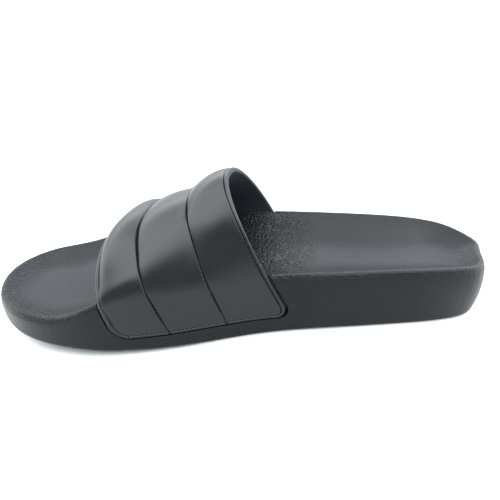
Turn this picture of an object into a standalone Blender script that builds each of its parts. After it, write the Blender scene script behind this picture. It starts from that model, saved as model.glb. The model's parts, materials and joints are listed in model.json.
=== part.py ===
"""Sport slide sandal for the right foot: a moulded sole and a padded band over the instep.

Metres, +Z up. The toe points along -X and the inner side of the foot faces -Y. The sole
stands on z = 0, with the middle of the whole shoe's box over the origin.
"""

from collections import namedtuple

import bmesh
import bpy
import numpy as np

MM = 0.001
TURN = 2 * np.pi

# Sole: its box, its side and its underside
LENGTH = 275.5 * MM
BALL_WIDTH = 102.4 * MM
RIM_HEIGHT = 34.5 * MM
WALL_BULGE = 1.0 * MM
RIM_RADIUS = 1.4 * MM
RIM_FALL = 3.6 * MM
SIDE_EDGE_RADIUS = 1.8 * MM
HEEL_EDGE_RADIUS = 3.0 * MM
TOE_EDGE_RADIUS = 6.5 * MM
MOST_EDGE_SHARE = 0.6
TOE_SPRING = 6.9 * MM
TOE_SPRING_RUN = 62 * MM
TOE_SPRING_POWER = 1.7
ARCH_LIFT = 0.4 * MM
HEEL_BEVEL = 0.4 * MM
HEEL_BEVEL_RUN = 18 * MM

# Sole: the cup that the foot stands in
FOOTBED_HEIGHT = 22 * MM
RIM_LAND = 1.2 * MM
CUP_RUN = 20 * MM
ARCH_CUP_RUN = 6 * MM
ARCH_CUP_ANGLE = np.radians(75)

# Sole: the tread's grooves
GROOVE_WIDTH = 2.4 * MM
GROOVE_DEPTH = 1.5 * MM
GROOVE_PITCH = 9.0 * MM
GROOVE_MARGIN = 9.0 * MM

# Band
BAND_RISE = 41 * MM
BAND_THICKNESS = 2.6 * MM
BAND_PROUD = 0.4 * MM
BAND_FOOT = 10.3 * MM
BAND_CORNER = 8.0 * MM
BAND_LIP = 1.0 * MM
BAND_BEND_BELOW_RIM = 2.0 * MM
PUFF_RISE = 3.2 * MM
EDGE_STITCH = 2.7 * MM

# Fits
SEAT_GAP = 0.3 * MM
POCKET_FRONT = 0.6 * MM
POCKET_REAR = 1.5 * MM
POCKET_BELOW = 0.7 * MM

# How finely each form is cut into faces
AROUND = 92
FLOOR_COLUMNS = 7
BAND_ARCH_STEPS = 28
SETTLE_STEPS = 12

# One row per section of the sole, from toe to heel. along is a share of LENGTH, inner and outer
# are the rim's distances from the long axis as shares of BALL_WIDTH, and inner_rim and outer_rim
# are its heights as shares of RIM_HEIGHT.
Section = namedtuple("Section", "along inner outer inner_rim outer_rim")
SECTIONS = (
    Section(0.029, 0.230, 0.252, 0.568, 0.556),
    Section(0.082, 0.372, 0.308, 0.597, 0.605),
    Section(0.171, 0.457, 0.419, 0.646, 0.652),
    Section(0.219, 0.475, 0.472, 0.820, 0.783),
    Section(0.265, 0.474, 0.501, 0.957, 0.916),
    Section(0.360, 0.444, 0.524, 0.974, 0.980),
    Section(0.490, 0.377, 0.490, 0.974, 1.000),
    Section(0.618, 0.360, 0.442, 0.957, 1.012),
    Section(0.746, 0.352, 0.398, 0.945, 0.998),
    Section(0.892, 0.325, 0.358, 0.901, 0.931),
    Section(0.943, 0.256, 0.334, 0.864, 0.882),
    Section(0.976, 0.106, 0.272, 0.832, 0.858),
)

# The two ends of the outline, in the same shares.
Tip = namedtuple("Tip", "across rim")
TOE_TIP = Tip(0.031, 0.570)
HEEL_TIP = Tip(0.050, 0.838)

# The footbed's height along the foot, as shares of LENGTH and FOOTBED_HEIGHT.
FootbedStep = namedtuple("FootbedStep", "along height")
FOOTBED = (
    FootbedStep(0.00, 0.66),
    FootbedStep(0.12, 0.67),
    FootbedStep(0.27, 0.82),
    FootbedStep(0.42, 0.98),
    FootbedStep(0.60, 1.10),
    FootbedStep(0.75, 1.02),
    FootbedStep(0.90, 0.98),
    FootbedStep(1.00, 1.00),
)
# Each height is the mean over this share of LENGTH to either side.
FOOTBED_BLEND = 0.05

# The underside's arch lies between these shares of LENGTH.
ARCH_START = 0.48
ARCH_END = 0.745

# The band's two edges and two seams, from toe to heel. Each lies in a plane that would meet the
# ground on the long axis at foot, a share of LENGTH. lean is its run towards the toe for each
# unit up, slant its run towards the heel for each unit to the outer side, and crest the height
# of its top over the rim as a share of BAND_RISE. across is how far the top lies off the long
# axis as a share of BALL_WIDTH, less than nothing on the inner side. padding_end is the angle up
# the arch, in degrees, round which the padding starts.
BandLine = namedtuple("BandLine", "foot lean slant crest across padding_end")
BAND_LINES = (
    BandLine(0.284, 0.243, 0.133, 0.337, -0.130, 17),
    BandLine(0.373, 0.350, 0.104, 0.530, -0.105, 24),
    BandLine(0.463, 0.360, 0.060, 0.715, -0.080, 38),
    BandLine(0.602, 0.532, 0.180, 1.028, -0.080, 38),
)
LAST_LINE = len(BAND_LINES) - 1

# The arch's curve is a superellipse with these two powers.
ARCH_SIDE_POWER = 2.18
ARCH_TOP_POWER = 1.42

# How full each padded channel is, as shares of PUFF_RISE, and the places across one channel,
# from seam to seam, where it is cut into faces.
PUFF_SHARES = (1.25, 0.70, 1.00)
PUFF_PLACES = (0.06, 0.20, 0.50, 0.80, 0.94)
PUFF_FULLNESS = 0.55

# The padding starts this many degrees below padding_end and is full after this many more. Some
# share of it is left on the side plates.
PADDING_START = 8
PADDING_RUN = 53
PADDING_LEFT_BELOW = 0.06

SOLE_COLOUR = (0.028, 0.031, 0.033, 1)
BAND_COLOUR = (0.020, 0.022, 0.024, 1)


def clear_scene():
    """Leaves an empty scene."""
    for old in list(bpy.data.objects):
        bpy.data.objects.remove(old, do_unlink=True)


def smooth_step(value, start, end):
    """0 before start, 1 after end, with a smooth rise between."""
    share = np.clip((value - start) / (end - start), 0, 1)
    return share * share * (3 - 2 * share)


def closed_spline(knots, values):
    """A curve through values at the rising angles knots, smooth all the way round."""
    knots = np.asarray(knots, float)
    values = np.asarray(values, float)
    count = len(knots)
    gaps = np.diff(np.append(knots, knots[0] + TURN))
    rises = np.diff(np.append(values, values[0])) / gaps
    matrix = np.zeros((count, count))
    for here in range(count):
        matrix[here, here - 1] += gaps[here - 1]
        matrix[here, here] += 2 * (gaps[here - 1] + gaps[here])
        matrix[here, (here + 1) % count] += gaps[here]
    bends = np.linalg.solve(matrix, 6 * (rises - np.roll(rises, 1)))

    def curve(angle):
        angle = np.mod(np.asarray(angle, float) - knots[0], TURN) + knots[0]
        here = np.clip(np.searchsorted(knots, angle, side="right") - 1, 0, count - 1)
        after = (here + 1) % count
        gap = gaps[here]
        done = (angle - knots[here]) / gap
        left = 1 - done
        bend = (left**3 - left) * bends[here] + (done**3 - done) * bends[after]
        return left * values[here] + done * values[after] + bend * gap**2 / 6

    return curve


def section_angle(along):
    """Angle round the outline, 0 at the heel tip and half a turn at the toe tip."""
    return np.arccos(2 * along - 1)


def outline_curve(heel, inner, toe, outer):
    """One value round the outline, from its two tips and a value per section and side."""
    angles = [section_angle(section.along) for section in SECTIONS]
    knots = [0.0] + angles[::-1] + [np.pi] + [TURN - angle for angle in angles]
    return closed_spline(knots, [heel] + inner[::-1] + [toe] + outer)


RIM_HALF_LENGTH = LENGTH / 2 - WALL_BULGE
RIM_ACROSS = outline_curve(
    HEEL_TIP.across * BALL_WIDTH,
    [-section.inner * BALL_WIDTH for section in SECTIONS],
    TOE_TIP.across * BALL_WIDTH,
    [section.outer * BALL_WIDTH for section in SECTIONS],
)
RIM_TOP = outline_curve(
    HEEL_TIP.rim * RIM_HEIGHT,
    [section.inner_rim * RIM_HEIGHT for section in SECTIONS],
    TOE_TIP.rim * RIM_HEIGHT,
    [section.outer_rim * RIM_HEIGHT for section in SECTIONS],
)


def station(share):
    """X of a share of the length, counted from the toe."""
    return (share - 0.5) * LENGTH


def side_angle(x, side):
    """Angle round the outline at x, on the inner side (side -1) or the outer side (side +1)."""
    angle = np.arccos(np.clip(x / RIM_HALF_LENGTH, -1, 1))
    return np.where(side < 0, angle, TURN - angle)


def lift(x):
    """Height of the underside over the ground: toe spring, arch and the heel's bevel."""
    toe = np.clip((TOE_SPRING_RUN - LENGTH / 2 - x) / TOE_SPRING_RUN, 0, 1)
    arch = np.clip((x - station(ARCH_START)) / ((ARCH_END - ARCH_START) * LENGTH), 0, 1)
    heel = np.clip((x - LENGTH / 2 + HEEL_BEVEL_RUN) / HEEL_BEVEL_RUN, 0, 1)
    arch_rise = ARCH_LIFT * np.sin(np.pi * arch) ** 2
    return TOE_SPRING * toe**TOE_SPRING_POWER + arch_rise + HEEL_BEVEL * heel**2


def footbed(x):
    """Height of the footbed's floor."""
    steps = [station(step.along) for step in FOOTBED]
    heights = [step.height * FOOTBED_HEIGHT for step in FOOTBED]
    nearby = np.linspace(-FOOTBED_BLEND, FOOTBED_BLEND, 7) * LENGTH
    return np.mean([np.interp(x + away, steps, heights) for away in nearby], axis=0)


def bulge(x, z, rim):
    """How far the wall stands out from the rim's line at height z: most at the heel."""
    share = np.clip((z - lift(x)) / (rim - lift(x)), 0, 1)
    return WALL_BULGE * (1 + x / RIM_HALF_LENGTH) * 4 * share * (1 - share)


def wall_across(x, z, side):
    """Distance of the wall from the long axis."""
    angle = side_angle(x, side)
    return side * RIM_ACROSS(angle) + bulge(x, z, RIM_TOP(angle))


def outline():
    """The rim's line and its outward directions, once round."""
    angles = TURN * np.arange(AROUND) / AROUND
    x = RIM_HALF_LENGTH * np.cos(angles)
    y = RIM_ACROSS(angles)
    points = np.stack([x, y], axis=1)
    run = np.roll(points, -1, axis=0) - np.roll(points, 1, axis=0)
    outward = np.stack([-run[:, 1], run[:, 0]], axis=1)
    outward /= np.linalg.norm(outward, axis=1)[:, None]
    outward *= np.sign(np.sum(outward * points))
    return angles, points, outward


def edge_radius(angles):
    """Radius of the bottom edge: small along the sides, larger round the heel and the toe."""
    toe = np.clip(-np.cos(angles), 0, 1) ** 4
    heel = np.clip(np.cos(angles), 0, 1) ** 6
    toe_extra = (TOE_EDGE_RADIUS - SIDE_EDGE_RADIUS) * toe
    return SIDE_EDGE_RADIUS + toe_extra + (HEEL_EDGE_RADIUS - SIDE_EDGE_RADIUS) * heel


def cup_run(angles):
    """How far the cup's slope reaches inwards from the rim; longest at the inner arch."""
    arch = np.clip(np.cos(angles - ARCH_CUP_ANGLE), 0, 1) ** 4
    return CUP_RUN + ARCH_CUP_RUN * arch


def sole_rings():
    """The sole's closed rings, from the tread's edge up the wall, over the rim and down the cup."""
    angles, points, outward = outline()
    rim = RIM_TOP(angles)
    most = MOST_EDGE_SHARE * (rim - lift(points[:, 0]))
    radius = np.minimum(edge_radius(angles), most)
    rings = []

    def add_ring(inset, height, wall=True):
        flat = points - outward * np.reshape(inset, (-1, 1))
        if wall:
            flat = flat + outward * bulge(points[:, 0], height, rim)[:, None]
        rings.append(np.column_stack([flat, np.broadcast_to(height, len(flat))]))

    for turn in np.radians((0, 22, 45, 68, 90)):
        inset = radius * (1 - np.sin(turn))
        flat_x = (points - outward * inset[:, None])[:, 0]
        add_ring(inset, lift(flat_x) + radius * (1 - np.cos(turn)))
    base = lift(points[:, 0]) + radius
    for share in (0.35, 0.7):
        add_ring(0, base + share * (rim - RIM_FALL - base))
    for turn in np.radians((0, 45, 90)):
        add_ring(RIM_RADIUS * (1 - np.cos(turn)), rim - RIM_FALL * (1 - np.sin(turn)))
    add_ring(RIM_RADIUS + RIM_LAND, rim, wall=False)
    run = cup_run(angles)
    for share in (0.2, 0.4, 0.6, 0.8, 1.0):
        inset = RIM_RADIUS + RIM_LAND + run * share
        flat_x = (points - outward * inset[:, None])[:, 0]
        floor = footbed(flat_x)
        add_ring(inset, floor + (rim - floor) * (1 - smooth_step(share, 0, 1)), wall=False)
    return rings


def add_strip(mesh, lower, upper, closed):
    """Faces between two rows of as many points."""
    count = len(lower)
    for here in range(count if closed else count - 1):
        after = (here + 1) % count
        mesh.faces.new((lower[here], lower[after], upper[after], upper[here]))


def add_floor(mesh, ring, height_at):
    """Closes a ring with rows of faces across it, from its inner side to its outer side."""
    count = len(ring)
    shares = np.linspace(0, 1, FLOOR_COLUMNS + 1)[1:-1]
    rows = []
    for here in range(1, count // 2):
        inner, outer = ring[here], ring[count - here]
        row = [inner]
        for share in shares:
            place = inner.co.lerp(outer.co, share)
            place.z = float(height_at(place.x))
            row.append(mesh.verts.new(place))
        rows.append(row + [outer])
    for row, following in zip(rows, rows[1:]):
        add_strip(mesh, row, following, closed=False)
    for tip, row in ((ring[0], rows[0]), (ring[count // 2], rows[-1])):
        for here, after in zip(row, row[1:]):
            mesh.faces.new((tip, here, after))


def finish_mesh(name, mesh):
    """An object from a closed mesh, with its faces pointing out."""
    bmesh.ops.recalc_face_normals(mesh, faces=mesh.faces)
    data = bpy.data.meshes.new(name)
    mesh.to_mesh(data)
    mesh.free()
    made = bpy.data.objects.new(name, data)
    bpy.context.collection.objects.link(made)
    return made


def make_sole():
    """The moulded sole as one closed body, before its pockets and grooves are cut."""
    mesh = bmesh.new()
    loops = [[mesh.verts.new(point) for point in ring] for ring in sole_rings()]
    for lower, upper in zip(loops, loops[1:]):
        add_strip(mesh, lower, upper, closed=True)
    add_floor(mesh, loops[0], lift)
    add_floor(mesh, loops[-1], footbed)
    return finish_mesh("sole", mesh)


def make_groove_cutter():
    """Bars across the underside, under the ball of the foot and under the heel."""
    mesh = bmesh.new()
    arch = (station(ARCH_START), station(ARCH_END))
    reach = LENGTH / 2 - GROOVE_MARGIN - GROOVE_PITCH
    steps = int(reach // GROOVE_PITCH)
    for step in range(-steps, steps + 1):
        x = step * GROOVE_PITCH
        if arch[0] < x < arch[1]:
            continue
        ends = []
        for side in (-1, 1):
            across = abs(float(RIM_ACROSS(side_angle(x, side)))) - GROOVE_MARGIN
            ends.append(side * across)
        if ends[1] - ends[0] < 2 * GROOVE_PITCH:
            continue
        corners = []
        for x_end in (x - GROOVE_WIDTH / 2, x + GROOVE_WIDTH / 2):
            top = float(lift(np.float64(x_end))) + GROOVE_DEPTH
            for y, z in ((ends[0], -GROOVE_DEPTH), (ends[1], -GROOVE_DEPTH), (ends[1], top), (ends[0], top)):
                corners.append(mesh.verts.new((x_end, y, z)))
        first, second = corners[:4], corners[4:]
        mesh.faces.new(first)
        mesh.faces.new(second)
        add_strip(mesh, first, second, closed=True)
    return finish_mesh("groove_cutter", mesh)


def line_value(column, name):
    """One of the band lines' values at a column, 0 at the front edge and LAST_LINE at the rear."""
    return np.interp(column, range(LAST_LINE + 1), [getattr(line, name) for line in BAND_LINES])


def band_surface(columns, rows, front=0.0, rear=0.0, below=0.0):
    """The band's outer face without its padding: points[row][column].

    A row is ("plate", side, height over the plate's foot) or ("arch", side, angle up the arch).
    front, rear and below widen it past its edges.
    """
    columns = np.asarray(columns, float)
    foot = line_value(columns, "foot") * LENGTH - LENGTH / 2
    lean = line_value(columns, "lean")
    slant = line_value(columns, "slant")
    crest = RIM_HEIGHT + line_value(columns, "crest") * BAND_RISE
    middle = line_value(columns, "across") * BALL_WIDTH
    at_front = np.clip(1 - columns, 0, 1)
    at_rear = np.clip(columns - LAST_LINE + 1, 0, 1)
    surface = []
    for kind, side, place in rows:
        x = foot.copy()
        setback = 0.0
        if kind == "plate":
            corner = BAND_CORNER + below
            depth = corner - np.clip(place + below, 0, corner)
            setback = corner - np.sqrt(corner**2 - depth**2)
        shift = at_front * (setback - front) - at_rear * (setback - rear)
        for _ in range(SETTLE_STEPS):
            bend = RIM_TOP(side_angle(x, side)) - BAND_BEND_BELOW_RIM
            if kind == "plate":
                z = np.full_like(x, BAND_FOOT + place)
                y = side * (wall_across(x, z, side) + BAND_PROUD)
            else:
                z = bend + (crest - bend) * np.sin(place) ** (2 / ARCH_TOP_POWER)
                reach = wall_across(x, bend, side) + BAND_PROUD - side * middle
                y = middle + side * reach * np.cos(place) ** (2 / ARCH_SIDE_POWER)
            x = foot - lean * z + slant * y + shift
        surface.append(np.stack([x, y, z], axis=1))
    return np.array(surface)


def outward_normals(surface):
    """Unit normals of a grid of points, away from the foot."""
    along = np.gradient(surface, axis=0)
    across = np.gradient(surface, axis=1)
    normals = np.cross(across, along)
    normals /= np.linalg.norm(normals, axis=2)[:, :, None]
    return normals


def panel_width(panel):
    """Width of one padded channel at the ground."""
    return (BAND_LINES[panel + 1].foot - BAND_LINES[panel].foot) * LENGTH


def band_columns():
    """Columns across the band, with each one's distance from the nearer edge and padding share."""
    places = []
    for distance in (0, 0.3 * BAND_LIP, BAND_LIP):
        places.append((distance / panel_width(0), distance, 0.0))
    edge = EDGE_STITCH / panel_width(0)
    last_edge = EDGE_STITCH / panel_width(LAST_LINE - 1)
    bounds = [edge] + list(range(1, LAST_LINE)) + [LAST_LINE - last_edge]
    for start, end, fullness in zip(bounds, bounds[1:], PUFF_SHARES):
        places.append((start, EDGE_STITCH, 0.0))
        for place in PUFF_PLACES:
            padding = fullness * (4 * place * (1 - place)) ** PUFF_FULLNESS
            places.append((start + place * (end - start), EDGE_STITCH, padding))
    places.append((bounds[-1], EDGE_STITCH, 0.0))
    for distance in (BAND_LIP, 0.3 * BAND_LIP, 0):
        places.append((LAST_LINE - distance / panel_width(LAST_LINE - 1), distance, 0.0))
    return places


def plate_heights(side, lowest):
    """Rows up one side plate, as heights over its foot: the lip, the round corners, the flat."""
    bend = RIM_HEIGHT - BAND_BEND_BELOW_RIM - BAND_FOOT
    rows = [0, 0.3 * BAND_LIP, BAND_LIP]
    rows += [share * BAND_CORNER for share in (0.3, 0.58, 1.0)]
    rows += [BAND_CORNER + 0.5 * (bend - BAND_CORNER)]
    return [("plate", side, row) for row in rows if row >= lowest]


def make_band():
    """The band as one closed body: a wall over the foot, with three padded channels."""
    columns = band_columns()
    places = [column for column, _, _ in columns]
    angles = np.linspace(0, np.pi / 2, BAND_ARCH_STEPS // 2 + 1)
    rows = plate_heights(-1, 0) + [("arch", -1, angle) for angle in angles[:-1]]
    rows += [("arch", 1, angle) for angle in angles[::-1]] + plate_heights(1, 0)[::-1]
    surface = band_surface(places, rows)
    normals = outward_normals(surface)

    edge_distance = np.array([distance for _, distance, _ in columns])
    padding = np.array([share for _, _, share in columns])
    padding_end = line_value(places, "padding_end")
    outer, inner = [], []
    for (kind, _, place), points, normal in zip(rows, surface, normals):
        distance = np.minimum(edge_distance, place) if kind == "plate" else edge_distance
        near = BAND_LIP - np.clip(distance, 0, BAND_LIP)
        lip = BAND_LIP - np.sqrt(BAND_LIP**2 - near**2)
        angle = np.degrees(place) if kind == "arch" else 0
        puffed = PADDING_LEFT_BELOW + (1 - PADDING_LEFT_BELOW) * smooth_step(
            angle, padding_end - PADDING_START, padding_end - PADDING_START + PADDING_RUN
        )
        if kind == "plate":
            puffed = puffed * smooth_step(place, BAND_LIP, BAND_CORNER)
        rise = PUFF_RISE * padding * puffed - lip
        outer.append(points + normal * rise[:, None])
        inner.append(points - normal * (BAND_THICKNESS - lip)[:, None])
    return band_body("upper", outer, inner)


def band_body(name, outer, inner):
    """A closed body between two grids of as many rows and columns."""
    mesh = bmesh.new()
    skins = [[[mesh.verts.new(p) for p in row] for row in grid] for grid in (outer, inner)]
    for skin in skins:
        for row, following in zip(skin, skin[1:]):
            add_strip(mesh, row, following, closed=False)
    borders = []
    for skin in skins:
        border = skin[0] + [row[-1] for row in skin[1:-1]]
        borders.append(border + skin[-1][::-1] + [row[0] for row in skin[-2:0:-1]])
    add_strip(mesh, borders[0], borders[1], closed=True)
    return finish_mesh(name, mesh)


def make_pocket_cutter(side):
    """What the sole's side gives up so that the band's plate lies in it, with its gaps."""
    places = np.linspace(0, LAST_LINE, 19)
    rows = [("plate", side, -POCKET_BELOW), ("plate", side, 0)]
    rows += plate_heights(side, 0.1 * BAND_CORNER)
    rows += [("arch", side, angle) for angle in np.radians((0, 6, 13, 20, 28))]
    surface = band_surface(places, rows, POCKET_FRONT, POCKET_REAR, POCKET_BELOW)
    normals = outward_normals(surface) * (-side)
    outer = surface + normals * 2 * BAND_THICKNESS
    inner = surface - normals * (BAND_THICKNESS + SEAT_GAP)
    return band_body(f"pocket_cutter_{'inner' if side < 0 else 'outer'}", outer, inner)


def cut(body, cutter):
    """Cuts one hidden body out of another."""
    cutter.hide_render = True
    cutter.display_type = "WIRE"
    modifier = body.modifiers.new(cutter.name, "BOOLEAN")
    modifier.operation = "DIFFERENCE"
    modifier.object = cutter


def finish(body, name, colour, roughness):
    """Gives a body its material and smooth shading."""
    material = bpy.data.materials.new(name)
    material.use_nodes = True
    shader = material.node_tree.nodes["Principled BSDF"]
    shader.inputs["Base Color"].default_value = colour
    shader.inputs["Roughness"].default_value = roughness
    shader.inputs["Metallic"].default_value = 0.0
    body.data.materials.append(material)
    body.data.shade_smooth()
    body.data.set_sharp_from_angle(angle=np.radians(35))


def stand_over_origin(bodies, cutters):
    """Moves every mesh so that the middle of the bodies' box is over the origin."""
    points = [vertex.co for body in bodies for vertex in body.data.vertices]
    low = np.min(points, axis=0)
    high = np.max(points, axis=0)
    middle = (low + high) / 2
    for made in bodies + cutters:
        for vertex in made.data.vertices:
            vertex.co.x -= middle[0]
            vertex.co.y -= middle[1]


def main():
    clear_scene()
    sole = make_sole()
    band = make_band()
    cutters = [make_pocket_cutter(-1), make_pocket_cutter(1), make_groove_cutter()]
    stand_over_origin([sole, band], cutters)
    for cutter in cutters:
        cut(sole, cutter)
    finish(sole, "moulded_foam", SOLE_COLOUR, 0.55)
    finish(band, "coated_leather", BAND_COLOUR, 0.35)


main()
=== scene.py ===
"""Looks of a slide sandal: the moulded sole, the padded band, its stitching and a plain studio.

Metres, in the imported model's own frame: the toe points along -X, the inner side of the foot faces
-Y, and the sole stands on z = 0.
"""

import sys
import json
import logging
import math
from dataclasses import dataclass, field
from enum import Enum
from typing import Callable, ClassVar, Sequence

import bmesh
import bpy
import numpy as np
from mathutils import Matrix, Vector

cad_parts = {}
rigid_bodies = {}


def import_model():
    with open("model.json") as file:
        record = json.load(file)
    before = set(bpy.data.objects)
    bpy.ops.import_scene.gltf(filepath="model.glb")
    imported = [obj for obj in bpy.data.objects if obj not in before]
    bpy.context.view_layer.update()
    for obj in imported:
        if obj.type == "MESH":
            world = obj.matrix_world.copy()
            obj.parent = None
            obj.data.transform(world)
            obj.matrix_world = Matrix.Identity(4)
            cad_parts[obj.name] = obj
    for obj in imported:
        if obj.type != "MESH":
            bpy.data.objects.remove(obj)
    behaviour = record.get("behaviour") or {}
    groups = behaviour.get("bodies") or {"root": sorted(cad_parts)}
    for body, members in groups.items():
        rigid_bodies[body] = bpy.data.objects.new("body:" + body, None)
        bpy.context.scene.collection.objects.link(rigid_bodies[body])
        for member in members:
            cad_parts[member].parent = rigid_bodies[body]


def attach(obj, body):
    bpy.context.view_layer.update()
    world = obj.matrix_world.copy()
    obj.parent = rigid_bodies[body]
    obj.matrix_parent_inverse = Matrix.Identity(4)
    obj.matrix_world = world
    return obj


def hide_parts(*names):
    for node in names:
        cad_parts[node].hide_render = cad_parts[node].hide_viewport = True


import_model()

MM = 0.001
TURN = 2 * math.pi
LOG = logging.getLogger("slide")


class Side(Enum):
    """The two sides of the shoe, with the sign of Y on each."""

    INNER = -1
    OUTER = 1


class Zone(Enum):
    """The parts of a line that runs over the band from one side to the other."""

    PLATE = "plate"
    SIDE = "side"
    ARCH = "arch"


def linear(code: str, alpha: float = 1.0) -> tuple[float, float, float, float]:
    """Turns an sRGB hex code into a linear colour.

    Args:
        code: six hex digits after a hash.
        alpha: the fourth number of the result.

    Returns:
        Red, green, blue and alpha.
    """
    shares = [int(code[k : k + 2], 16) / 255 for k in (1, 3, 5)]
    bent = [s / 12.92 if s <= 0.04045 else ((s + 0.055) / 1.055) ** 2.4 for s in shares]
    return (*bent, alpha)


def feed(tree: bpy.types.NodeTree, socket: bpy.types.NodeSocket, value: object) -> None:
    """Links a socket to the output that feeds it, or sets its constant."""
    if isinstance(value, bpy.types.NodeSocket):
        tree.links.new(value, socket)
    else:
        socket.default_value = value


def add_node(
    tree: bpy.types.NodeTree, kind: str, links: dict | None = None, output: str = "", **settings
) -> bpy.types.Node | bpy.types.NodeSocket:
    """Adds one node with its settings, values and links.

    Args:
        tree: the node tree that gets it.
        kind: the node's type name.
        links: input name or number to a value or to the output socket that feeds it.
        output: name of the output that is wanted.
        **settings: the node's own properties.

    Returns:
        That output, or the new node where none is named.
    """
    node = tree.nodes.new(kind)
    for name, value in settings.items():
        setattr(node, name, value)
    for name, value in (links or {}).items():
        feed(tree, node.inputs[name], value)
    return node.outputs[output] if output else node


def smooth_step(value: np.ndarray, start: float, end: float) -> np.ndarray:
    """Rises smoothly from 0 at start to 1 at end."""
    share = np.clip((np.asarray(value, float) - start) / (end - start), 0, 1)
    return share * share * (3 - 2 * share)


class ClosedCurve:
    """A smooth value round the outline, through given values at given angles."""

    def __init__(self, knots: Sequence[float], values: Sequence[float]) -> None:
        """Finds the bends of a cubic spline that closes on itself.

        Args:
            knots: rising angles within one turn.
            values: the value at each.
        """
        self.knots = np.asarray(knots, float)
        self.values = np.asarray(values, float)
        count = len(self.knots)
        self.gaps = np.diff(np.append(self.knots, self.knots[0] + TURN))
        rises = np.diff(np.append(self.values, self.values[0])) / self.gaps
        matrix = np.zeros((count, count))
        for here in range(count):
            matrix[here, here - 1] += self.gaps[here - 1]
            matrix[here, here] += 2 * (self.gaps[here - 1] + self.gaps[here])
            matrix[here, (here + 1) % count] += self.gaps[here]
        self.bends = np.linalg.solve(matrix, 6 * (rises - np.roll(rises, 1)))

    def __call__(self, angle: np.ndarray) -> np.ndarray:
        """Reads the curve.

        Args:
            angle: one or more angles.

        Returns:
            The value at each.
        """
        angle = np.mod(np.asarray(angle, float) - self.knots[0], TURN) + self.knots[0]
        last = len(self.knots) - 1
        here = np.clip(np.searchsorted(self.knots, angle, side="right") - 1, 0, last)
        after = (here + 1) % len(self.knots)
        gap = self.gaps[here]
        done = (angle - self.knots[here]) / gap
        left = 1 - done
        bend = (left**3 - left) * self.bends[here] + (done**3 - done) * self.bends[after]
        return left * self.values[here] + done * self.values[after] + bend * gap**2 / 6


@dataclass(frozen=True)
class Section:
    """One cut across the sole, as shares of its length, its ball width and its rim height."""

    along: float
    inner: float
    outer: float
    inner_rim: float
    outer_rim: float


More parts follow.
